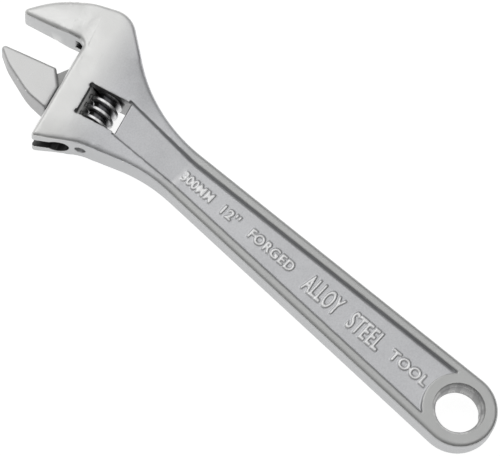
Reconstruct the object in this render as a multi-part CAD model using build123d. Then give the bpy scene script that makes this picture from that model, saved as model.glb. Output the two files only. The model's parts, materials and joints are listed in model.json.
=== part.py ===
from build123d import *
import math
import os

# ---------------------------------------------------------------------------
# Adjustable wrench, 300 mm class, in millimetres.
# Part frame: the origin is the centre of the hang hole on the mid-plane, +X runs
# along the handle to the head, +Y is the sliding jaw's side, +Z is up.
# Head frame: u runs from the throat towards the jaw tips, v runs from the fixed
# jaw's face in the opening direction, and the head is turned by head_angle.
# ---------------------------------------------------------------------------

# handle and tail
handle_length = 253.2        # hang hole centre to throat corner, along X
throat_drop = 17.7           # throat corner below the handle's centre line
tail_radius = 18.6
handle_thickness = 13.4
neck_half_width = 11.85      # where the flares would meet the handle's sides
edge_radius = 2.2
hole_radius = 10.8
hole_mouth_radius = 12.5
hole_mouth_depth = 2.6

# recessed panel, the same on both sides of the handle
rim_width = 5.4
panel_depth = 3.0
panel_depth_head = 1.0       # where the panel meets the worm's window
panel_collar = 5.0           # raised ring left outside the hole's mouth
panel_draft = 18.0
panel_end_inset = 0.4        # from the window's sides
panel_end_lap = 1.0          # how far the panel laps over the window
neck_at = -81.0              # from the throat, along X

# head
head_angle = 15.0
head_thickness = 21.0
jaw_tip_thickness = 14.6
jaw_depth = 37.0             # throat to the fixed jaw's sharp corner
throat_radius = 4.0
tip_radius = 2.0
front_height = 56.4          # fixed jaw's face to the head's lower front corner
slope_start = -74.0          # u where the handle starts to thicken
thick_start = -14.0          # u where the head has its full thickness
taper_start = 6.0            # u where the jaw starts to thin
slope_radius = 90.0
taper_radius = 60.0
taper_run_out = 20.0         # the height line goes on this far past the jaw's tip
front_corner_radius = 1.2

# back of the head and the two flares, as corners and their radii
flare_back_x = -50.5         # from the throat, along X
heel_back = (-7.2, -43.7)
crown_back = (22.8, -30.1)
flare_front_x = -66.9
heel_front = (-34.6, 23.2)
flare_back_radius = 81.0
heel_back_radius = 13.5
crown_radius = 52.0
heel_front_radius = 30.0
flare_front_radius = 75.0

# sliding jaw, at rest with the jaws part open
opening_rest = 18.6
opening_max = 34.0
opening_min = 0.2
jaw_height = 21.8
jaw_heel_thickness = 16.4
slide_tip_thickness = 10.6
slide_taper_start = 4.0      # u where the sliding jaw starts to thin
slide_jaw_depth = 37.6
slide_back = (9.4, 8.7)      # corner behind the tip, from the tip and the face
slide_belly = (12.0, 3.4)    # corner under the jaw, from the heel and the heel's foot
slide_back_radius = 30.0
slide_edge_radius = 1.6
slide_tip_radius = 1.8
slide_corner_radius = 1.8
heel_top_radius = 1.4
heel_bend_radius = 3.0
heel_gap = 0.3
heel_length = 5.9            # the face stops this far from the throat plane
heel_chamfer = 8.4

# rail, web and the bore and slot that they slide in
rail_radius = 5.0
rail_axis_u = -12.4
rail_above = 15.9            # rail's reach above the jaw's face
rail_below = 28.5            # rail's reach below the jaw's face
rail_chamfer = 0.8
rail_fit = 0.08              # radial running clearance
web_thickness = 7.0
web_fit = 0.2                # clearance on each side of the web
web_ramp = 53.0              # slant of the web's leading edge, degrees
web_rise = 5.5               # web's reach above the jaw's face, at the throat plane
web_below = 27.0
web_reach = 7.0              # u that the web reaches into the jaw
web_corner = 2.0             # slant at the web's lower front corner
ramp_clearance = 2.0
blind_room = 0.6             # what is left past the rail with the jaws closed

# adjusting worm, its thread and its window
lead = 5.0                   # jaw travel for one turn, one start, left hand
worm_radius = 8.0
thread_depth = 2.9
crest_width = 1.7
thread_flank = 12.0          # flank angle, degrees
thread_lap = 0.5             # how far the thread's root goes into the core
mesh_gap = 0.28              # gap between thread and rack flanks, along v
tip_gap = 0.3                # gap between crests and roots
worm_length = 16.6
worm_chamfer = 0.6
worm_play = 0.25             # gap at each end of the worm
window_side_gap = 3.9        # window wall to the worm, on the handle side
window_rack_gap = 1.3        # window wall to the worm, on the rack side
window_centre_v = 27.2
relief_radius = 1.3
relief_inset = 0.9
relief_back = 0.5

# worm's axle screw and spring
axle_radius = 2.0
axle_fit = 0.05
axle_blind = 6.0             # depth of the axle's seat past the window
screw_radius = 2.7
screw_seat = 6.0             # wall between the window and the screw's shoulder
screw_slot_width = 0.9
screw_slot_depth = 1.1
screw_sink = 0.5
spring_wire = 0.7
spring_radius = 2.95
spring_turns = 3.0
spring_gap = 0.1             # left between the spring and the worm
spring_pocket_radius = 3.8
spring_pocket_depth = 4.2

# worked out from the sizes above
worm_axis_u = rail_axis_u - rail_radius - (worm_radius - thread_depth) - tip_gap
window_v0 = window_centre_v - worm_length / 2 - worm_play
window_v1 = window_centre_v + worm_length / 2 + worm_play
window_u0 = worm_axis_u - worm_radius - window_side_gap
window_u1 = worm_axis_u + worm_radius + window_rack_gap
rail_bore_end = opening_min - rail_above - blind_room
web_slope = math.tan(math.radians(web_ramp))
flank_slope = math.tan(math.radians(thread_flank))
reach = 400.0                # past everything, for cutting shapes
cut_past = 20.0              # how far bores and slots are cut past the end face
lap = 1.0                    # how far a cutting shape passes the face that it opens

head_plane = Plane(
    origin=(handle_length, -throat_drop, 0),
    x_dir=(math.cos(math.radians(head_angle)), math.sin(math.radians(head_angle)), 0),
    z_dir=(0, 0, 1),
)
slide_dir = head_plane.y_dir


def head_point(u, v):
    """A point of the head frame, as (x, y) of the part frame."""
    p = head_plane.from_local_coords(Vector(u, v, 0))
    return (p.X, p.Y)


def head_coords(x, y):
    """A point of the part frame, as (u, v) of the head frame."""
    p = head_plane.to_local_coords(Vector(x, y, 0))
    return (p.X, p.Y)


def from_throat(offset):
    """A corner given by its X from the throat and its Y from the centre line."""
    return (handle_length + offset[0], offset[1])


def rod(u, v0, v1, radius):
    """A cylinder along the opening direction, from v0 to v1."""
    x, y = head_point(u, v0)
    base = Plane(origin=(x, y, 0), x_dir=head_plane.x_dir, z_dir=slide_dir)
    return Solid.make_cylinder(radius, v1 - v0, base)


def plate(points, half_height):
    """A plate from a closed outline of (u, v) points, about the mid-plane."""
    face = make_face(Polyline(*points, close=True).edges())
    return head_plane.location * extrude(face, half_height, both=True)


def block(u0, u1, v0, v1, half_height):
    """A rectangular plate in the head frame."""
    return plate([(u0, v0), (u1, v0), (u1, v1), (u0, v1)], half_height)


def across_v(line, bottom):
    """Fills from a height line in (u, z) to z = bottom, and runs it right across v."""
    first = line.position_at(0)
    last = line.position_at(1)
    corners = [(last.X, last.Y), (last.X, bottom), (first.X, bottom), (first.X, first.Y)]
    face = make_face(line.edges() + Polyline(*corners).edges())
    upright = Plane(origin=head_plane.origin, x_dir=head_plane.x_dir, z_dir=-slide_dir)
    return extrude(upright.location * face, reach, both=True)


def both_faces(shape):
    """A shape with its mirror image below the mid-plane."""
    return shape + mirror(shape, Plane.XY)


def body_height(low, full, drop):
    """The body's height line: handle, slope up to the head, taper to the jaw's tip."""
    taper_end = jaw_depth + taper_run_out
    tip = full - drop * (taper_end - taper_start) / (jaw_depth - taper_start)
    return FilletPolyline(
        (-reach, low),
        (slope_start, low),
        (thick_start, full),
        (taper_start, full),
        (taper_end, tip),
        radius=[slope_radius, slope_radius, taper_radius],
    )


def tail_tangent(corner):
    """Where the line from a corner touches the tail's circle, on the corner's side."""
    x, y = corner
    away = math.acos(tail_radius / math.hypot(x, y))
    side = 1 if y > 0 else -1
    angle = math.atan2(y, x) + side * away
    return (tail_radius * math.cos(angle), tail_radius * math.sin(angle))


flare_back = (handle_length + flare_back_x, -neck_half_width)
flare_front = (handle_length + flare_front_x, neck_half_width)


def body_outline():
    """The body's outline seen from above."""
    corners = {
        flare_back: flare_back_radius,
        from_throat(heel_back): heel_back_radius,
        from_throat(crown_back): crown_radius,
        head_point(jaw_depth, 0): tip_radius,
        head_point(0, 0): throat_radius,
        head_point(0, front_height): front_corner_radius,
        from_throat(heel_front): heel_front_radius,
        flare_front: flare_front_radius,
    }
    start = tail_tangent(flare_back)
    end = tail_tangent(flare_front)
    sides = FilletPolyline(start, *corners.keys(), end, radius=list(corners.values()))
    tail = ThreePointArc(end, (-tail_radius, 0), start)
    return make_face(sides.edges() + tail.edges())


def body_blank():
    """The forged blank, with its upper and lower edges rounded."""
    drop = (head_thickness - jaw_tip_thickness) / 2
    slab = both_faces(across_v(body_height(handle_thickness / 2, head_thickness / 2, drop), 0))
    blank = extrude(body_outline(), head_thickness, both=True) & slab
    return fillet(rim_edges(blank), edge_radius)


def rim_edges(solid):
    """The edges where the upright sides meet the upper and lower faces."""
    sides = [f for f in solid.faces() if abs(f.normal_at().Z) < 0.3]
    side_edges = [e for f in sides for e in f.edges()]
    flats = [f for f in solid.faces() if abs(f.normal_at().Z) > 0.7]
    flat_edges = [e for f in flats for e in f.edges()]
    return [e for e in side_edges if any(e.is_same(other) for other in flat_edges)]


def handle_half_width(x):
    """The handle's half width at x, on its straight stretch."""
    x0, y0 = tail_tangent(flare_front)
    x1, y1 = flare_front
    return y0 + (y1 - y0) * (x - x0) / (x1 - x0)


def panel_outline(grow):
    """The recessed panel, from the collar round the hang hole to the worm's window."""
    collar = hole_mouth_radius + panel_collar
    neck_x = handle_length + neck_at
    side0 = handle_half_width(collar) - rim_width + grow
    side1 = handle_half_width(neck_x) - rim_width + grow
    collar_x = math.sqrt(collar**2 - side0**2)
    low = head_point(window_u0 + panel_end_lap, window_v0 + panel_end_inset - grow)
    high = head_point(window_u0 + panel_end_lap, window_v1 - panel_end_inset + grow)
    ring = ThreePointArc((collar_x, side0), (collar, 0), (collar_x, -side0))
    corners = [(collar_x, -side0), (neck_x, -side1), low, high, (neck_x, side1), (collar_x, side0)]
    rest = Polyline(*corners)
    return make_face(ring.edges() + rest.edges())


def panel_cut():
    """What the two panels take out of the handle, with sloping walls."""
    floor = handle_thickness / 2 - panel_depth
    tall = head_thickness / 2
    grow = tall * math.tan(math.radians(panel_draft))
    lower = Pos(0, 0, floor) * panel_outline(0)
    upper = Pos(0, 0, floor + tall) * panel_outline(grow)
    prism = loft([lower, upper], ruled=True)
    line = body_height(floor, head_thickness / 2 - panel_depth_head, panel_depth_head)
    return both_faces(prism & across_v(line, head_thickness))


def hang_hole():
    """The hole through the tail, with its two coned mouths."""
    half = handle_thickness / 2
    bore = Cylinder(hole_radius, 2 * handle_thickness)
    slope = (hole_mouth_radius - hole_radius) / hole_mouth_depth
    wide = hole_mouth_radius + slope * half
    cone = Pos(0, 0, half - hole_mouth_depth + (hole_mouth_depth + half) / 2) * Cone(
        hole_radius, wide, hole_mouth_depth + half
    )
    return bore + both_faces(cone)


def window():
    """The worm's window through the head, with reliefs in its two rack-side corners."""
    tall = head_thickness
    cut = block(window_u0, window_u1, window_v0, window_v1, tall)
    for v in (window_v0 + relief_inset, window_v1 - relief_inset):
        x, y = head_point(window_u1 - relief_back, v)
        cut += Pos(x, y, 0) * Cylinder(relief_radius, 2 * tall)
    return cut


def end_face_v(u):
    """Where the head's lower end face lies at u."""
    heel_u, heel_v = head_coords(*from_throat(heel_front))
    return front_height + (heel_v - front_height) * u / heel_u


def web_edge_v(u):
    """The web's slanted leading edge at u, from the sliding jaw's face."""
    return web_slope * u - web_rise


def web_bend_u():
    """Where the web's slanted edge starts, level with the rail's upper end."""
    return (web_rise - rail_above) / web_slope


def web_slot():
    """The slot that the web slides in, open to the head's front and lower end."""
    closed = opening_min - ramp_clearance
    points = [
        (rail_axis_u, closed - rail_above),
        (web_bend_u(), closed - rail_above),
        (jaw_depth, closed + web_edge_v(jaw_depth)),
        (jaw_depth, front_height + cut_past),
        (rail_axis_u, front_height + cut_past),
    ]
    return plate(points, web_thickness / 2 + web_fit)


def wrench_body():
    """The forged body with its handle, fixed jaw, panels, window and bores."""
    far = front_height + cut_past
    body = body_blank()
    body -= panel_cut()
    body -= hang_hole()
    body -= window()
    body -= rod(rail_axis_u, rail_bore_end, far, rail_radius + rail_fit)
    body -= web_slot()
    body -= rod(worm_axis_u, window_v0 - axle_blind, far, axle_radius)
    body -= rod(worm_axis_u, window_v1 + screw_seat, far, screw_radius)
    return body


def jaw_plate():
    """The sliding jaw's plate at rest, without its web and rail."""
    back = (slide_jaw_depth - slide_back[0], slide_back[1])
    belly = (heel_gap + slide_belly[0], jaw_height - slide_belly[1])
    corners = {
        (slide_jaw_depth, 0): slide_tip_radius,
        back: slide_back_radius,
        belly: slide_back_radius,
        (heel_gap, jaw_height): slide_corner_radius,
        (heel_gap, heel_chamfer): heel_bend_radius,
        (heel_length, 0): heel_top_radius,
    }
    sides = FilletPolyline(*corners.keys(), radius=list(corners.values()), close=True)
    plan = head_plane.location * (Pos(0, opening_rest, 0) * make_face(sides.edges()))
    heel = jaw_heel_thickness / 2
    tip = slide_tip_thickness / 2
    points = [(-lap, heel), (slide_taper_start, heel), (slide_jaw_depth + lap, tip)]
    line = FilletPolyline(*points, radius=taper_radius)
    blank = extrude(plan, head_thickness, both=True) & both_faces(across_v(line, 0))
    return fillet(rim_edges(blank), slide_edge_radius)


def jaw_web():
    """The web between the sliding jaw and its rail, with a slanted leading edge."""
    points = [
        (rail_axis_u, -rail_above),
        (web_bend_u(), -rail_above),
        (web_reach, web_edge_v(web_reach)),
        (web_reach, heel_chamfer + web_corner),
        (heel_gap + lap, jaw_height - web_corner),
        (-heel_gap, web_below - web_corner),
        (-heel_gap - web_corner, web_below),
        (rail_axis_u, web_below),
    ]
    return plate([(u, v + opening_rest) for u, v in points], web_thickness / 2)


def rack_groove(v):
    """One groove of the rack, slanted like the worm's thread, with sloping flanks."""
    floor_u = worm_axis_u + worm_radius + tip_gap
    open_u = rail_axis_u - rail_radius - lap
    narrow = crest_width / 2 + mesh_gap
    wide = narrow + (floor_u - open_u) * flank_slope
    slant = lead / (2 * math.pi * (worm_radius - thread_depth / 2))
    half = rail_radius + lap
    shift = slant * half
    points = [
        (floor_u, v - narrow - shift),
        (floor_u, v + narrow - shift),
        (open_u, v + wide - shift),
        (open_u, v - wide - shift),
    ]
    face = Pos(0, 0, -half) * make_face(Polyline(*points, close=True).edges())
    length = math.hypot(2 * half, 2 * shift)
    return head_plane.location * extrude(face, length, dir=(0, slant, 1))


def sliding_jaw():
    """The sliding jaw in one piece with its web and its toothed rail."""
    v0 = opening_rest - rail_above
    v1 = opening_rest + rail_below
    rail = rod(rail_axis_u, v0, v1, rail_radius)
    ends = rail.edges().filter_by(GeomType.CIRCLE)
    jaw = chamfer(ends, rail_chamfer) + jaw_web() + jaw_plate()
    first = math.floor((v0 - window_centre_v) / lead)
    last = math.ceil((v1 - window_centre_v) / lead)
    for k in range(first, last + 1):
        jaw -= rack_groove(window_centre_v + k * lead)
    return jaw


def adjusting_worm():
    """The worm with its one-start left-hand thread, its bore and its spring pocket."""
    root = worm_radius - thread_depth
    v0 = window_centre_v - worm_length / 2
    v1 = window_centre_v + worm_length / 2
    turns_below = math.ceil((window_centre_v - v0) / lead) + 1
    start_v = window_centre_v - turns_below * lead
    x, y = head_point(worm_axis_u, start_v)
    axis = Plane(origin=(x, y, 0), x_dir=head_plane.x_dir, z_dir=slide_dir)
    inner = root - thread_lap
    path = Helix(lead, 2 * turns_below * lead, inner, lefthand=True)
    narrow = crest_width / 2
    wide = narrow + (worm_radius - inner) * flank_slope
    section = Plane(origin=path @ 0, x_dir=(1, 0, 0), z_dir=path % 0)
    depth = worm_radius - inner
    points = [(0, -wide), (depth, -narrow), (depth, narrow), (0, wide)]
    profile = section.location * make_face(Polyline(*points, close=True).edges())
    thread = axis.location * sweep(profile, path=path, is_frenet=True)
    core = rod(worm_axis_u, start_v, start_v + 2 * turns_below * lead, root)
    sleeve = rod(worm_axis_u, v0, v1, worm_radius + worm_chamfer)
    ends = sleeve.edges().filter_by(GeomType.CIRCLE)
    worm = (core + thread) & chamfer(ends, 2 * worm_chamfer)
    worm -= rod(worm_axis_u, v0 - lap, v1 + lap, axle_radius + axle_fit)
    worm -= rod(worm_axis_u, v1 - spring_pocket_depth, v1 + lap, spring_pocket_radius)
    return worm


def screw_end_v():
    """Where the axle screw's slotted end lies, just under the head's end face."""
    return end_face_v(worm_axis_u - screw_radius) - screw_sink


def worm_axle_screw():
    """The axle that the worm turns on, with a larger slotted end in the head."""
    end = screw_end_v()
    shoulder = window_v1 + screw_seat
    screw = rod(worm_axis_u, window_v0 - axle_blind, shoulder, axle_radius)
    screw += rod(worm_axis_u, shoulder, end, screw_radius)
    slot = block(
        worm_axis_u - screw_radius - lap,
        worm_axis_u + screw_radius + lap,
        end - screw_slot_depth,
        end + lap,
        screw_slot_width / 2,
    )
    return screw - slot


def worm_spring():
    """The small coil spring between the worm's pocket and the window's wall."""
    v0 = window_v1 - worm_play - spring_pocket_depth + spring_gap
    coil = window_v1 - v0 - spring_wire
    x, y = head_point(worm_axis_u, v0 + spring_wire / 2)
    axis = Plane(origin=(x, y, 0), x_dir=head_plane.x_dir, z_dir=slide_dir)
    path = Helix(coil / spring_turns, coil, spring_radius)
    section = Plane(origin=path @ 0, x_dir=(1, 0, 0), z_dir=path % 0)
    return axis.location * sweep(section * Circle(spring_wire / 2), path=path, is_frenet=True)


pieces = {
    "wrench_body": wrench_body,
    "sliding_jaw": sliding_jaw,
    "adjusting_worm": adjusting_worm,
    "worm_axle_screw": worm_axle_screw,
    "worm_spring": worm_spring,
}


if __name__ == "__main__":
    os.makedirs("parts", exist_ok=True)
    for name, make in pieces.items():
        solid = make().solids()[0]
        print(name, round(solid.volume, 1))
        export_step(solid, f"parts/{name}.step")
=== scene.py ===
import json
import math
import bmesh
import bpy
import numpy as np
from mathutils import Matrix, Vector
from mathutils.kdtree import KDTree

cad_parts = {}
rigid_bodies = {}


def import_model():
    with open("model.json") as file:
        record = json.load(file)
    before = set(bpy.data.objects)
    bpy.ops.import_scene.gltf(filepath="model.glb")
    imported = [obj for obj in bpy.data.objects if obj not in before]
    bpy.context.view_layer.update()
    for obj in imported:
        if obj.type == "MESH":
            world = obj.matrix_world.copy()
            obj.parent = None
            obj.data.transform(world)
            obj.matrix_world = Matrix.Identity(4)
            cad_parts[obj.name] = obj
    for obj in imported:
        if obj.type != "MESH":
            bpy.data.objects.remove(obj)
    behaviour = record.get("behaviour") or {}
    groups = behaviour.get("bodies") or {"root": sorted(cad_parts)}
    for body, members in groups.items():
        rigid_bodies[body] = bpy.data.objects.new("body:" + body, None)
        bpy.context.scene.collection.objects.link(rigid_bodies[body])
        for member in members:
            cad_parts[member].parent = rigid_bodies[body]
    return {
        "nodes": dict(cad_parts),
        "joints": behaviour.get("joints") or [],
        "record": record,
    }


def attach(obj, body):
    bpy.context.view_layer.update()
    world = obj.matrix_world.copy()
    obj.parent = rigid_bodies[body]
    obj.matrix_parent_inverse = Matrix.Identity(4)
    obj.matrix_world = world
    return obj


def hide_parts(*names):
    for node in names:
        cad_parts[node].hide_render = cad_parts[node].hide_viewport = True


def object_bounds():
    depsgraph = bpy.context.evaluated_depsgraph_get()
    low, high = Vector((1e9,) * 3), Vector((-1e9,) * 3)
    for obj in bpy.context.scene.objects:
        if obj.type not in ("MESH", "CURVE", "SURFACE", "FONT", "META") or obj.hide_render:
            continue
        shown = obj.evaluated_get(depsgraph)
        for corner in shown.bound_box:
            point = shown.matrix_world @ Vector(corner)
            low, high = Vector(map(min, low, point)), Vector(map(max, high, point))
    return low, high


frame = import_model()
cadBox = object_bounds()
nodes = frame["nodes"]
joints = {j["name"]: j for j in frame["joints"]}
mounts = {m["name"]: m for m in frame["record"]["mounts"]}
mm = 0.001
print("frame loaded:", sorted(nodes))

# the head's own directions, from the way the jaw slides
openDir = Vector(joints["jaw_slide"]["axis"]).normalized()
tipDir = Vector((openDir.y, -openDir.x, 0))
upDir = Vector((0, 0, 1))
wormCentre = Vector(joints["worm_spin"]["pos_m"])
holeCentre = Vector(mounts["hang_hole"]["pos_m"])


def headPlace(u, v, z=0.0):
    # from the worm's centre: u towards the jaw tips, v the way the jaw opens, z up
    return wormCentre + tipDir * u + openDir * v + upDir * z


camera = {
    "place": (-0.089541, 0.363683, 1.115173),
    "right": (-0.746528, -0.661758, 0.069085),
    "up": (0.638965, -0.684092, 0.351769),
    "back": (-0.185525, 0.306748, 0.933534),
    "lens": 180.0,
    "sensor": 36.0,
    "farthest": 20.0,
}

studio = {
    "floorSide": 8.0,
    "floorColour": (0.40, 0.40, 0.40),
    "floorGlow": 0.86,
    "floorRoughness": 0.9,
    "floorSpecular": 0.1,
    "skyTop": 0.55,
    "skyEdge": 0.22,  # at the horizon, before the lean
    "skyLean": (0.42, -0.08, 0.0),  # how the horizon brightens along x and y
    "skyLeast": 0.05,
    "skyRise": (0.3, 0.96),  # heights between which the horizon turns into the top
    "boxes": [
        # name, place, aimed at, width and height, brightness
        ("headBox", (1.1, -0.25, 1.5), (0.2, 0.0, 0.0), (1.5, 1.2), 0.72),
        ("tailBox", (-0.3, -0.55, 1.7), (0.1, 0.0, 0.0), (0.9, 0.9), 0.62),
    ],
}


# adds a node, with each input either set or linked
def put(tree, kind, inputs=None, **settings):
    node = tree.nodes.new(kind)
    for key, value in settings.items():
        setattr(node, key, value)
    for key, value in (inputs or {}).items():
        if isinstance(value, bpy.types.NodeSocket):
            tree.links.new(value, node.inputs[key])
        else:
            node.inputs[key].default_value = value
    return node


def calc(tree, operation, *values):
    return put(tree, "ShaderNodeMath", dict(enumerate(values)), operation=operation).outputs[0]


def calcWay(tree, operation, *ways):
    node = put(tree, "ShaderNodeVectorMath", dict(enumerate(ways)), operation=operation)
    single = operation in ("DOT_PRODUCT", "LENGTH")
    return node.outputs["Value" if single else "Vector"]


def spreadTo(tree, value, fromLow, fromHigh, toLow, toHigh):
    return put(tree, "ShaderNodeMapRange", {
        "Value": value, "From Min": fromLow, "From Max": fromHigh, "To Min": toLow, "To Max": toHigh,
    }).outputs["Result"]


def blendColours(tree, factor, first, second):
    mix = put(tree, "ShaderNodeMix", {"Factor": factor}, data_type="RGBA")
    for socket, value in ((mix.inputs[6], first), (mix.inputs[7], second)):  # the two colours
        if isinstance(value, bpy.types.NodeSocket):
            tree.links.new(value, socket)
        else:
            socket.default_value = (*value, 1)
    return mix.outputs[2]


def link(obj):
    bpy.context.scene.collection.objects.link(obj)
    return obj


def newMaterial(name):
    mat = bpy.data.materials.new(name)
    mat.use_nodes = True
    return mat, mat.node_tree, mat.node_tree.nodes["Principled BSDF"]


def addCamera(settings):
    data = bpy.data.cameras.new("studioCamera")
    data.lens = settings["lens"]
    data.sensor_width = settings["sensor"]
    data.clip_end = settings["farthest"]
    camObject = link(bpy.data.objects.new("studioCamera", data))
    axes = Matrix((settings["right"], settings["up"], settings["back"])).transposed()
    camObject.matrix_world = Matrix.Translation(settings["place"]) @ axes.to_4x4()
    bpy.context.scene.camera = camObject


def addFloor(settings, height):
    half = settings["floorSide"] / 2
    mesh = bpy.data.meshes.new("studioFloor")
    corners = [(-half, -half), (half, -half), (half, half), (-half, half)]
    mesh.from_pydata([(x, y, height) for x, y in corners], [], [(0, 1, 2, 3)])
    mat, _, shader = newMaterial("paperWhite")
    shader.inputs["Base Color"].default_value = (*settings["floorColour"], 1)
    shader.inputs["Roughness"].default_value = settings["floorRoughness"]
    shader.inputs["Specular IOR Level"].default_value = settings["floorSpecular"]
    shader.inputs["Emission Color"].default_value = (1, 1, 1, 1)
    shader.inputs["Emission Strength"].default_value = settings["floorGlow"]
    mesh.materials.append(mat)
    link(bpy.data.objects.new("studioFloor", mesh))


def addSoftbox(name, place, target, size, brightness):
    data = bpy.data.lights.new(name, "AREA")
    data.shape = "RECTANGLE"
    data.size, data.size_y = size
    data.energy = brightness * math.pi * size[0] * size[1]
    light = link(bpy.data.objects.new(name, data))
    light.location = place
    light.rotation_euler = (Vector(target) - Vector(place)).to_track_quat("-Z", "Y").to_euler()


# an even top over a horizon that is bright past the jaw tips and dark behind the tail
def addSky(settings):
    world = bpy.data.worlds.new("studioWorld")
    bpy.context.scene.world = world
    world.use_nodes = True
    tree = world.node_tree
    way = put(tree, "ShaderNodeTexCoord").outputs["Generated"]
    edge = calc(tree, "ADD", calcWay(tree, "DOT_PRODUCT", way, settings["skyLean"]), settings["skyEdge"])
    edge = calc(tree, "MAXIMUM", edge, settings["skyLeast"])
    height = put(tree, "ShaderNodeSeparateXYZ", {"Vector": way}).outputs["Z"]
    rise = spreadTo(tree, height, *settings["skyRise"], 0.0, 1.0)
    inputs = {"Factor": rise, "A": edge, "B": settings["skyTop"]}
    mix = put(tree, "ShaderNodeMix", inputs, data_type="FLOAT")
    backdrop = tree.nodes["Background"]
    tree.links.new(mix.outputs["Result"], backdrop.inputs["Strength"])
    backdrop.inputs["Color"].default_value = (1, 1, 1, 1)


addCamera(camera)
addFloor(studio, cadBox[0][2])
addSky(studio)
for box in studio["boxes"]:
    addSoftbox(*box)
bpy.context.scene.view_settings.view_transform = "Standard"
print("studio ready")


tiny = 0.001 * mm  # points closer than this are one point
smoothing = 0.5  # how far each round moves a point towards its neighbours


def meshObject(name, mesh):
    return link(bpy.data.objects.new(name, mesh))


def objectFrom(work, name):
    mesh = bpy.data.meshes.new(name)
    work.to_mesh(mesh)
    work.free()
    return meshObject(name, mesh)


# applies the object's modifiers to its mesh
def settle(obj):
    graph = bpy.context.evaluated_depsgraph_get()
    mesh = bpy.data.meshes.new_from_object(obj.evaluated_get(graph))
    old = obj.data
    obj.modifiers.clear()
    obj.data = mesh
    if old.users == 0:
        bpy.data.meshes.remove(old)
    return obj


# a copy of a CAD node's mesh, with its points joined so that it is closed
def closedCopy(nodeName, name):
    work = bmesh.new()
    work.from_mesh(nodes[nodeName].data)
    bmesh.ops.remove_doubles(work, verts=work.verts, dist=tiny)
    bmesh.ops.dissolve_degenerate(work, edges=work.edges, dist=tiny / 2)
    piece = objectFrom(work, name)
    piece.data.materials.clear()
    return piece


# gives a sharp solid the soft edges of a forging
def soften(obj, m):
    remesh = obj.modifiers.new("remesh", "REMESH")
    remesh.mode = "VOXEL"
    remesh.voxel_size = m["voxel"]
    smooth = obj.modifiers.new("smooth", "SMOOTH")
    smooth.factor = smoothing
    smooth.iterations = m["rounds"]
    thin = obj.modifiers.new("thin", "DECIMATE")
    thin.ratio = m["keep"]
    return settle(obj)


def joinMeshes(target, others):
    work = bmesh.new()
    for obj in [target, *others]:
        work.from_mesh(obj.data)
    work.to_mesh(target.data)
    work.free()
    for other in others:
        bpy.data.objects.remove(other)


def cutWith(obj, cutters):
    for cutter in cutters:
        cut = obj.modifiers.new("cut", "BOOLEAN")
        cut.operation = "DIFFERENCE"
        cut.solver = "MANIFOLD"
        cut.object = cutter
    settle(obj)
    for cutter in cutters:
        bpy.data.objects.remove(cutter)


def shadeByAngle(obj, degrees):
    obj.data.shade_smooth()
    obj.data.set_sharp_from_angle(angle=math.radians(degrees))


# a rod between two points, or a cone where the second radius differs
def cylinder(name, start, end, radius, radius2=None, sides=128):
    work = bmesh.new()
    last = radius if radius2 is None else radius2
    length = (end - start).length
    bmesh.ops.create_cone(
        work, cap_ends=True, segments=sides, radius1=radius, radius2=last, depth=length,
    )
    turn = (end - start).to_track_quat("Z", "Y").to_matrix().to_4x4()
    work.transform(Matrix.Translation((start + end) / 2) @ turn)
    return objectFrom(work, name)


# a plate with (u, v) corners in the head
def prism(name, corners, halfHeight):
    work = bmesh.new()
    low = [work.verts.new(headPlace(u, v, -halfHeight)) for u, v in corners]
    high = [work.verts.new(headPlace(u, v, halfHeight)) for u, v in corners]
    work.faces.new(low[::-1])
    work.faces.new(high)
    for k in range(len(corners)):
        n = (k + 1) % len(corners)
        work.faces.new((low[k], low[n], high[n], high[k]))
    bmesh.ops.recalc_face_normals(work, faces=work.faces)
    return objectFrom(work, name)


body = {
    "voxel": 0.38 * mm,
    "rounds": 4,
    "keep": 0.36,
    "sharp": 35,  # degrees
    "panelFloor": 3.7 * mm,
    "handleHalf": 6.7 * mm,
    "letterRise": 0.6 * mm,
    "letterGrow": 0.12 * mm,
    "letterSpacing": 1.12,
    "marks": [
        # words, middle along the handle, width, height
        ("300MM", 163.4 * mm, 18.4 * mm, 5.4 * mm),
        ("12''", 142.3 * mm, 10.0 * mm, 5.4 * mm),
        ("FORGED", 116.2 * mm, 27.0 * mm, 5.4 * mm),
        ("ALLOY", 83.6 * mm, 21.0 * mm, 9.8 * mm),
        ("STEEL", 56.8 * mm, 19.0 * mm, 9.8 * mm),
        ("TOOL", 30.2 * mm, 22.0 * mm, 5.6 * mm),
    ],
    "domeDrop": 1.25 * mm,  # how far the head's faces fall at their edges
    "domeReach": 13.0 * mm,  # how far in from the edges they start to fall
    "domeFrom": (182.0 * mm, 214.0 * mm),  # along the handle, where the dome fades in
    "domeLevel": (5.0 * mm, 9.0 * mm),  # heights where points start to move and move fully
    "edgeLevel": (5.6 * mm, 6.6 * mm),  # heights where the outer walls are looked for
    "edgeLean": 0.25,
    "edgeLead": 10.0 * mm,  # they are looked for this far before the dome starts
    "insideU": (-14.5 * mm, 12.5 * mm),  # walls in here are the window's, not outer walls
    "insideV": 11.0 * mm,
    "railAxis": 10.4 * mm,
    "railBore": 5.2 * mm,
    "railFrom": -43.6 * mm,
    "railPast": 40.0 * mm,
    "slotHalf": 3.72 * mm,
    "slotPath": [
        (10.4 * mm, -45.0 * mm), (14.9 * mm, -45.0 * mm), (60.0 * mm, 14.8 * mm),
        (60.0 * mm, 49.0 * mm), (10.4 * mm, 49.0 * mm),
    ],
    "windowHalf": 8.62 * mm,
    "windowTall": 15.0 * mm,
    "windowBack": -12.0 * mm,
    "windowFront": 9.4 * mm,
    "windowTop": 7.5 * mm,  # its handle-side edge, where the panel runs in
    "windowChamfer": 0.6 * mm,
    "plugRadius": 13.6 * mm,
    "holeRadius": 10.8 * mm,
    "holeTall": 20.0 * mm,
    "mouthRadius": 12.5 * mm,
    "mouthDepth": 2.6 * mm,
}


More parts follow.
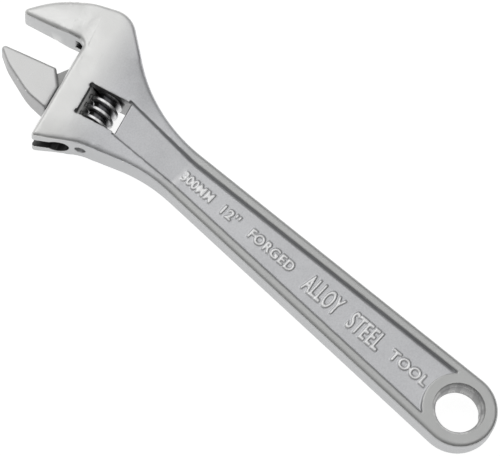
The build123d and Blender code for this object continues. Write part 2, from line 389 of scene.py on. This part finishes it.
def raisedMark(words, middle, width, height, m):
    curve = bpy.data.curves.new("mark", "FONT")
    curve.body = words
    curve.extrude = m["letterRise"]
    curve.size = height
    curve.space_character = m["letterSpacing"]
    curve.offset = m["letterGrow"]
    holder = link(bpy.data.objects.new("mark", curve))
    graph = bpy.context.evaluated_depsgraph_get()
    mesh = bpy.data.meshes.new_from_object(holder.evaluated_get(graph))
    bpy.data.objects.remove(holder)
    places = np.array([v.co for v in mesh.vertices])
    low, high = places.min(0), places.max(0)
    scale = Matrix.Diagonal((width / (high[0] - low[0]), height / (high[1] - low[1]), 1, 1))
    centre = Vector((low + high) / 2)
    centre.z = 0
    # reads from the head towards the tail, its feet towards the sliding jaw's side
    turn = Matrix(((-1, 0, 0, middle), (0, -1, 0, 0), (0, 0, 1, m["panelFloor"]), (0, 0, 0, 1)))
    mesh.transform(turn @ scale @ Matrix.Translation(-centre))
    work = bmesh.new()
    work.from_mesh(mesh)
    bpy.data.meshes.remove(mesh)
    bmesh.ops.remove_doubles(work, verts=work.verts, dist=tiny)
    bmesh.ops.recalc_face_normals(work, faces=work.faces)
    return objectFrom(work, "mark")


# lowers the head's two faces towards their edges, as a forging's are
def domeHead(obj, m):
    mesh = obj.data
    places = np.empty(len(mesh.vertices) * 3)
    ways = np.empty(len(mesh.vertices) * 3)
    mesh.vertices.foreach_get("co", places)
    mesh.vertex_normals.foreach_get("vector", ways)
    places, ways = places.reshape(-1, 3), ways.reshape(-1, 3)
    local = places - np.array(wormCentre)
    u, v = local @ np.array(tipDir), local @ np.array(openDir)
    inWindow = (abs(v) < m["insideV"]) & (u > m["insideU"][0]) & (u < m["insideU"][1])
    along, level = places[:, 0], abs(places[:, 2])
    first, last = m["domeFrom"]
    lowest, highest = m["domeLevel"]
    side = (level > m["edgeLevel"][0]) & (level < m["edgeLevel"][1]) & ~inWindow
    side &= (abs(ways[:, 2]) < m["edgeLean"]) & (along > first - m["edgeLead"])
    walls = KDTree(int(side.sum()))
    for i, (x, y) in enumerate(places[side, :2]):
        walls.insert((x, y, 0), i)
    walls.balance()
    for i in np.nonzero((along > first) & (level > lowest))[0]:
        away = walls.find((places[i, 0], places[i, 1], 0))[2]
        short = 1 - min(away / m["domeReach"], 1)
        fade = min((along[i] - first) / (last - first), 1)
        fade *= min((level[i] - lowest) / (highest - lowest), 1)
        places[i, 2] -= math.copysign(m["domeDrop"] * short * short * fade, places[i, 2])
    mesh.vertices.foreach_set("co", places.ravel())
    mesh.update()


# the bores, slot, window and hang hole, cut crisp after the softening
def bodyCutters(m):
    rail = m["railAxis"]
    half, back, front = m["windowHalf"], m["windowBack"], m["windowFront"]
    window = [(back, -half), (front, -half), (front, half), (back, half)]
    cutters = [
        cylinder("bore", headPlace(rail, m["railFrom"]), headPlace(rail, m["railPast"]), m["railBore"]),
        prism("windowCut", window, m["windowTall"]),
        prism("webSlot", m["slotPath"], m["slotHalf"]),
    ]
    for level in (-m["windowTop"], m["windowTop"]):
        ends = headPlace(back, -half, level), headPlace(back, half, level)
        cutters.append(cylinder("windowEdge", *ends, m["windowChamfer"], sides=4))
    slope = (m["mouthRadius"] - m["holeRadius"]) / m["mouthDepth"]
    wide = m["mouthRadius"] + slope * m["mouthDepth"]
    for side in (-1, 1):
        inner = holeCentre + upDir * side * (m["handleHalf"] - m["mouthDepth"])
        outer = holeCentre + upDir * side * (m["handleHalf"] + m["mouthDepth"])
        cutters.append(cylinder("mouth", inner, outer, m["holeRadius"], wide))
    tall = upDir * m["holeTall"]
    cutters.append(cylinder("hole", holeCentre - tall, holeCentre + tall, m["holeRadius"]))
    return cutters


forgedBody = closedCopy("wrench_body", "forgedBody")
marks = [raisedMark(*mark, body) for mark in body["marks"]]
plugHalf = upDir * body["handleHalf"]
plug = cylinder("plug", holeCentre - plugHalf, holeCentre + plugHalf, body["plugRadius"])
joinMeshes(forgedBody, [*marks, plug])  # the hole is bored again after the softening
soften(forgedBody, body)
domeHead(forgedBody, body)
cutWith(forgedBody, bodyCutters(body))
shadeByAngle(forgedBody, body["sharp"])
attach(forgedBody, "handle")
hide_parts("wrench_body")
print("body:", len(forgedBody.data.polygons), "faces")


jaw = {"voxel": 0.24 * mm, "rounds": 2, "keep": 0.4, "sharp": 35}

slidingJaw = closedCopy("sliding_jaw", "slidingJaw")
soften(slidingJaw, jaw)
shadeByAngle(slidingJaw, jaw["sharp"])
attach(slidingJaw, "jaw")
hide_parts("sliding_jaw")
print("jaw:", len(slidingJaw.data.polygons), "faces")


worm = {
    "lead": 5.0 * mm,
    "outer": 8.0 * mm,
    "root": 5.1 * mm,
    "crest": 1.6 * mm,
    "flank": 12.0,  # degrees
    "length": 16.6 * mm,
    "endCut": 7.4 * mm,  # outer radius at the chamfered ends
    "bore": 2.05 * mm,
    "pocket": 3.8 * mm,
    "pocketDepth": 4.2 * mm,
    "steps": 96,
    "rounding": 5,  # steps each side that the crests are rounded over
    "sharp": 40,
}


# the thread's radius over one lead, starting at a crest's middle
def threadProfile(m):
    phase = (np.arange(m["steps"]) / m["steps"] + 0.5) % 1.0 - 0.5
    away = np.abs(phase) * m["lead"]
    spread = (m["outer"] - m["root"]) * math.tan(math.radians(m["flank"]))
    rise = np.clip((m["crest"] / 2 + spread - away) / spread, 0, 1)
    reach = range(-m["rounding"], m["rounding"] + 1)
    smooth = sum(np.roll(rise, k) for k in reach) / len(reach)
    return m["root"] + (m["outer"] - m["root"]) * smooth


# rings along the axis, each a step of the left-hand thread, then the pocket and the bore
def wormMesh(m):
    steps = m["steps"]
    step = m["lead"] / steps
    half = m["length"] / 2
    profile = threadProfile(m)
    rows = np.arange(math.ceil(-half / step), math.floor(half / step) + 1)
    levels = np.concatenate(([-half], rows * step, [half]))
    angles = [2 * math.pi * i / steps for i in range(steps)]
    verts = []

    def ring(level, radii):
        for radius, angle in zip(radii, angles):
            verts.append(headPlace(radius * math.cos(angle), level, -radius * math.sin(angle)))

    for level in levels:
        number = int(round(level / step))
        cut = m["endCut"] + half - abs(level)
        ring(level, [min(profile[(number + i) % steps], cut) for i in range(steps)])
    deep = half - m["pocketDepth"]
    inner = [(half, m["pocket"]), (deep, m["pocket"]), (deep, m["bore"]), (-half, m["bore"])]
    for level, radius in inner:
        ring(level, [radius] * steps)
    total = len(levels) + len(inner)
    faces = []
    for j in range(total):
        k = (j + 1) % total
        for i in range(steps):
            n = (i + 1) % steps
            a, b, c, d = j * steps + i, j * steps + n, k * steps + n, k * steps + i
            faces.extend([(a, b, d), (b, c, d)])
    mesh = bpy.data.meshes.new("thread")
    mesh.from_pydata(verts, [], faces)
    work = bmesh.new()
    work.from_mesh(mesh)
    bpy.data.meshes.remove(mesh)
    bmesh.ops.recalc_face_normals(work, faces=work.faces)
    return work


adjustingWorm = objectFrom(wormMesh(worm), "adjustingWorm")
shadeByAngle(adjustingWorm, worm["sharp"])
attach(adjustingWorm, "worm")
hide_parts("adjusting_worm")
print("worm:", len(adjustingWorm.data.polygons), "faces")


screw = {"voxel": 0.13 * mm, "rounds": 2, "keep": 0.4, "sharp": 35}

axleScrew = closedCopy("worm_axle_screw", "axleScrew")
soften(axleScrew, screw)
shadeByAngle(axleScrew, screw["sharp"])
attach(axleScrew, "handle")
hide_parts("worm_axle_screw")
print("screw:", len(axleScrew.data.polygons), "faces")


finishes = {
    "satinPlate": {
        "dull": (0.56, 0.565, 0.58), "fair": (0.69, 0.695, 0.71), "worn": (0.80, 0.80, 0.79),
        "grime": (0.28, 0.28, 0.28), "rough": (0.34, 0.46), "grainSize": 0.8 * mm,
        "grainDepth": 0.03 * mm, "waveSize": 7.0 * mm, "waveDepth": 0.05 * mm,
    },
    "groundJaw": {
        "dull": (0.60, 0.60, 0.60), "fair": (0.69, 0.69, 0.68), "worn": (0.80, 0.80, 0.79),
        "grime": (0.26, 0.26, 0.26), "rough": (0.34, 0.46), "grainSize": 0.5 * mm,
        "grainDepth": 0.009 * mm, "waveSize": 6.0 * mm, "waveDepth": 0.04 * mm,
    },
    "polishedWorm": {
        "dull": (0.66, 0.66, 0.67), "fair": (0.78, 0.78, 0.78), "worn": (0.95, 0.95, 0.94),
        "grime": (0.10, 0.10, 0.10), "rough": (0.22, 0.34), "grainSize": 0.4 * mm,
        "grainDepth": 0.006 * mm, "waveSize": 2.5 * mm, "waveDepth": 0.03 * mm,
    },
    "screwEnd": {
        "dull": (0.45, 0.45, 0.46), "fair": (0.62, 0.62, 0.62), "worn": (0.76, 0.76, 0.75),
        "grime": (0.08, 0.08, 0.08), "rough": (0.26, 0.4), "grainSize": 0.3 * mm,
        "grainDepth": 0.006 * mm, "waveSize": 2.0 * mm, "waveDepth": 0.01 * mm,
    },
    "springWire": {
        "dull": (0.30, 0.30, 0.31), "fair": (0.45, 0.45, 0.45), "worn": (0.6, 0.6, 0.6),
        "grime": (0.1, 0.1, 0.1), "rough": (0.25, 0.4), "grainSize": 0.2 * mm,
        "grainDepth": 0.003 * mm, "waveSize": 1.0 * mm, "waveDepth": 0.005 * mm,
    },
}

ageing = {
    "blotchSize": 18.0 * mm,
    "toneRange": (0.75, 1.25),  # of blotch and grain added up
    "wornEdge": (0.52, 0.60),  # how sharp an edge is where wear starts and is full
    "wornShare": 0.85,
    "wornPolish": 0.12,  # how much smoother a worn edge is
    "dirtyCorner": (0.48, 0.38),
    "dirtShare": 0.8,
    "noiseRoughness": 0.55,
}


def noise(tree, coord, size, detail, seed):
    return put(tree, "ShaderNodeTexNoise", {
        "Vector": coord, "Scale": 1.0 / size, "Detail": detail,
        "Roughness": ageing["noiseRoughness"], "W": seed,
    }, noise_dimensions="4D").outputs["Fac"]


def bump(tree, height, depth, **normal):
    inputs = {"Height": height, "Distance": depth, "Strength": 1.0, **normal}
    return put(tree, "ShaderNodeBump", inputs).outputs["Normal"]


# plated steel: painted light and shade go under the wear and dirt, painted shade on the cut walls over
# them
def platedSteel(name, f, paintedLight=None, cutShade=None):
    mat, tree, shader = newMaterial(name)
    coord = put(tree, "ShaderNodeTexCoord").outputs["Object"]
    edge = put(tree, "ShaderNodeNewGeometry").outputs["Pointiness"]
    blotch = noise(tree, coord, ageing["blotchSize"], detail=3.0, seed=1.7)
    wave = noise(tree, coord, f["waveSize"], detail=2.0, seed=4.1)
    grain = noise(tree, coord, f["grainSize"], detail=3.0, seed=7.9)
    wear = spreadTo(tree, edge, *ageing["wornEdge"], 0.0, ageing["wornShare"])
    dirt = spreadTo(tree, edge, *ageing["dirtyCorner"], 0.0, ageing["dirtShare"])
    tone = calc(tree, "ADD", blotch, grain)
    fair = spreadTo(tree, tone, *ageing["toneRange"], 0.0, 1.0)
    colour = blendColours(tree, fair, f["dull"], f["fair"])
    if paintedLight:
        colour = paintedLight(tree, coord, colour)
    colour = blendColours(tree, wear, colour, f["worn"])
    colour = blendColours(tree, dirt, colour, f["grime"])
    if cutShade:
        colour = cutShade(tree, coord, colour)
    rough = spreadTo(tree, tone, *ageing["toneRange"], *f["rough"])
    rough = calc(tree, "SUBTRACT", rough, spreadTo(tree, wear, 0.0, 1.0, 0.0, ageing["wornPolish"]))
    waves = bump(tree, wave, f["waveDepth"])
    shader.inputs["Metallic"].default_value = 1.0
    tree.links.new(colour, shader.inputs["Base Color"])
    tree.links.new(rough, shader.inputs["Roughness"])
    tree.links.new(bump(tree, grain, f["grainDepth"], Normal=waves), shader.inputs["Normal"])
    return mat


def distanceAlong(tree, coord, start, way):
    return calcWay(tree, "DOT_PRODUCT", calcWay(tree, "SUBTRACT", coord, start), way)


# one inside the radius near, none past the radius far, about a line
def nearAxis(tree, coord, centre, axis, near, far):
    away = calcWay(tree, "SUBTRACT", coord, centre)
    radius = calcWay(tree, "LENGTH", calcWay(tree, "CROSS_PRODUCT", away, axis))
    return spreadTo(tree, radius, near, far, 1.0, 0.0)


def heightOf(tree, vector):
    height = put(tree, "ShaderNodeSeparateXYZ", {"Vector": vector}).outputs["Z"]
    return calc(tree, "ABSOLUTE", height)


def facing(tree, kind):
    return put(tree, "ShaderNodeNewGeometry").outputs[kind]


levelBand = (0.10 * mm, 0.25 * mm)  # how far off the level still counts
levelLean = (0.85, 0.95)


# one on the faces that look up or down at this level, none elsewhere
def levelFaces(tree, coord, level):
    off = calc(tree, "ABSOLUTE", calc(tree, "SUBTRACT", heightOf(tree, coord), level))
    near = spreadTo(tree, off, *levelBand, 1.0, 0.0)
    flat = spreadTo(tree, heightOf(tree, facing(tree, "True Normal")), *levelLean, 0.0, 1.0)
    return calc(tree, "MULTIPLY", near, flat)


throatPlace = headPlace(22.8 * mm, 0)

bodyTones = {
    "handleEnd": (168.0 * mm, 190.0 * mm),  # along the handle, where its own tones fade out
    "rimLevel": (4.6 * mm, 6.2 * mm),
    # painted shade on the handle's rims and panel walls
    "rimShadeColour": (0.52, 0.525, 0.515),
    "rimShadeShare": 0.85,
    "letterFoot": (3.8 * mm, 4.15 * mm),
    "letterTop": (4.35 * mm, 4.6 * mm),
    "letterEnd": (173.5 * mm, 175.0 * mm),  # along the handle, past the last mark
    # letters lighter for their worn tops, plus a painted highlight
    "letterWearAndHighlight": (0.92, 0.92, 0.92),
    "letterShare": 0.8,
    "headFace": (-27.0 * mm, -9.0 * mm),  # from the throat, where the painted highlight on the head fades in
    "headColour": (0.79, 0.79, 0.775),
    "headHighlightShare": 0.85,
    # painted shade on walls that face sideways
    "wallLean": (0.25, 0.6),
    "wallShadeColour": (0.44, 0.445, 0.45),
    "wallShadeShare": 0.8,
}

# painted shade inside the hole, window, bore and slot
cutShadeTones = {
    "holeRadii": (11.0 * mm, 12.2 * mm),
    "holeShade": (0.22, 0.22, 0.22),
    "windowEdge": 0.1 * mm,
    "windowShade": (0.34, 0.34, 0.34),
    "share": 0.9,
    "boreRadii": (5.25 * mm, 5.45 * mm),
    "boreShade": (0.10, 0.10, 0.10),
    "slotFrom": (8.0 * mm, 9.0 * mm),  # from the worm's axis towards the tips
}


# painted highlight on the flat head, painted shade on the rims and side walls, and letters lighter for
# their worn tops plus a painted highlight
def bodyPaintedLight(tree, coord, colour):
    t = bodyTones
    along = put(tree, "ShaderNodeSeparateXYZ", {"Vector": coord}).outputs["X"]
    level = heightOf(tree, coord)
    # painted shade on the handle's rims and panel walls
    rim = spreadTo(tree, level, *t["rimLevel"], 0.0, t["rimShadeShare"])
    rim = calc(tree, "MULTIPLY", rim, spreadTo(tree, along, *t["handleEnd"], 1.0, 0.0))
    colour = blendColours(tree, rim, colour, t["rimShadeColour"])
    # letters lighter for their worn tops, plus a painted highlight
    letter = spreadTo(tree, level, *t["letterFoot"], 0.0, t["letterShare"])
    letter = calc(tree, "MULTIPLY", letter, spreadTo(tree, level, *t["letterTop"], 1.0, 0.0))
    letter = calc(tree, "MULTIPLY", letter, spreadTo(tree, along, *t["letterEnd"], 1.0, 0.0))
    colour = blendColours(tree, letter, colour, t["letterWearAndHighlight"])
    # painted highlight on the head, brighter towards the jaw tips
    out = distanceAlong(tree, coord, throatPlace, tipDir)
    head = spreadTo(tree, out, *t["headFace"], 0.0, t["headHighlightShare"])
    colour = blendColours(tree, head, colour, t["headColour"])
    # painted shade on walls that face sideways
    wall = spreadTo(tree, heightOf(tree, facing(tree, "Normal")), *t["wallLean"], t["wallShadeShare"], 0.0)
    return blendColours(tree, wall, colour, t["wallShadeColour"])


# painted shade on the walls of the hole, window, bore and slot
def bodyCutShade(tree, coord, colour):
    t, m = cutShadeTones, body
    # painted shade inside the cuts
    hole = nearAxis(tree, coord, holeCentre, upDir, *t["holeRadii"])
    colour = blendColours(tree, calc(tree, "MULTIPLY", hole, t["share"]), colour, t["holeShade"])
    out = distanceAlong(tree, coord, wormCentre, tipDir)
    across = calc(tree, "ABSOLUTE", distanceAlong(tree, coord, wormCentre, openDir))
    edge = t["windowEdge"]
    window = spreadTo(tree, across, m["windowHalf"], m["windowHalf"] + edge, t["share"], 0.0)
    for end, step in ((m["windowBack"], -edge), (m["windowFront"], edge)):
        window = calc(tree, "MULTIPLY", window, spreadTo(tree, out, end, end + step, 1.0, 0.0))
    colour = blendColours(tree, window, colour, t["windowShade"])
    bore = nearAxis(tree, coord, headPlace(m["railAxis"], 0), openDir, *t["boreRadii"])
    colour = blendColours(tree, bore, colour, t["boreShade"])
    slot = spreadTo(tree, out, *t["slotFrom"], 0.0, 1.0)
    slot = calc(tree, "MULTIPLY", slot, levelFaces(tree, coord, m["slotHalf"]))
    return blendColours(tree, slot, colour, t["boreShade"])


jawTones = {
    "webShadeFrom": (-0.5 * mm, 0.4 * mm),  # from the throat, where the painted shade on the web and rail fades out
    "webShadeColour": (0.34, 0.34, 0.335),
    "webLevel": 3.5 * mm,
    # painted shade on the jaw's belly
    "bellyLean": (0.35, 0.8),
    "bellyShadeColour": (0.40, 0.40, 0.40),
}


# painted shade on the web and the rail inside the head, and on the jaw's belly
def jawPaintedShade(tree, coord, colour):
    t = jawTones
    # painted shade on the web and rail inside the head
    webShade = spreadTo(tree, distanceAlong(tree, coord, throatPlace, tipDir), *t["webShadeFrom"], 1.0, 0.0)
    webShade = calc(tree, "MAXIMUM", webShade, levelFaces(tree, coord, t["webLevel"]))
    # painted shade on the jaw's belly, the faces turned the way it opens
    belly = calcWay(tree, "DOT_PRODUCT", facing(tree, "True Normal"), openDir)
    belly = spreadTo(tree, belly, *t["bellyLean"], 0.0, 1.0)
    colour = blendColours(tree, belly, colour, t["bellyShadeColour"])
    return blendColours(tree, webShade, colour, t["webShadeColour"])


# painted shade in the thread's groove
wormTones = {"grooveShadeColour": (0.09, 0.09, 0.095), "grooveRadii": (5.2 * mm, 6.8 * mm)}


# painted shade in the thread's groove
def wormGrooveShade(tree, coord, colour):
    grooveShade = nearAxis(tree, coord, wormCentre, openDir, *wormTones["grooveRadii"])
    return blendColours(tree, grooveShade, colour, wormTones["grooveShadeColour"])


paintedLightOf = {
    "satinPlate": (bodyPaintedLight, bodyCutShade),
    "groundJaw": (jawPaintedShade,),
    "polishedWorm": (wormGrooveShade,),
}
materials = {name: platedSteel(name, f, *paintedLightOf.get(name, ())) for name, f in finishes.items()}


def finish(obj, name):
    obj.data.materials.clear()
    obj.data.materials.append(materials[name])


finish(forgedBody, "satinPlate")
finish(slidingJaw, "groundJaw")
finish(adjustingWorm, "polishedWorm")
finish(axleScrew, "screwEnd")
for name, node in nodes.items():
    finish(node, "springWire" if name == "worm_spring" else "satinPlate")
print("finishes ready")
